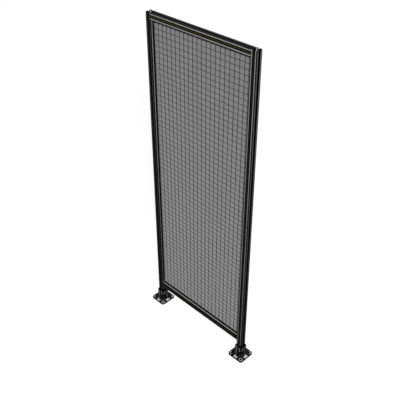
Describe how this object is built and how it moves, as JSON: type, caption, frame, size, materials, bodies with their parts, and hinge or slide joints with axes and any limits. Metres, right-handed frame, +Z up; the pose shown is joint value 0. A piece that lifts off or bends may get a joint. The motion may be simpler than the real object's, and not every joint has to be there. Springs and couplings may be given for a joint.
{
  "type": "machine guard fence panel",
  "caption": "Upright guard panel of slotted profile with a square wire grid over a smoke sheet, standing on two cast feet.",
  "frame": {"origin": "centre of the left foot's underside, on the floor below the left post's axis", "axes": "+X along the panel from the left post to the right post, +Y to the back, +Z up"},
  "size_m": [0.8382, 0.1142, 2.032],
  "materials": {
    "profile": "anodised, dark satin",
    "wire": "black powder coat",
    "sheet": "smoke tinted, clear gloss",
    "gasket": "matt black",
    "cover": "satin olive",
    "foot": "grey coated casting",
    "screw": "blackened steel"
  },
  "bodies": {
    "root": {"left_post": "profile", "right_post": "profile", "top_rail": "profile", "bottom_rail": "profile", "grid_lowest": "wire", "grid_lower": "wire", "grid_upper": "wire", "grid_highest": "wire", "smoke_sheet": "sheet", "left_gasket": "gasket", "right_gasket": "gasket", "top_gasket": "gasket", "bottom_gasket": "gasket", "left_front_cover": "cover", "right_front_cover": "cover", "top_front_cover": "cover", "bottom_front_cover": "cover", "left_foot": "foot", "right_foot": "foot", "left_foot_bolt": "screw", "right_foot_bolt": "screw", "top_left_screw": "screw", "top_right_screw": "screw", "bottom_left_screw": "screw", "bottom_right_screw": "screw"}
  },
  "joints": []
}
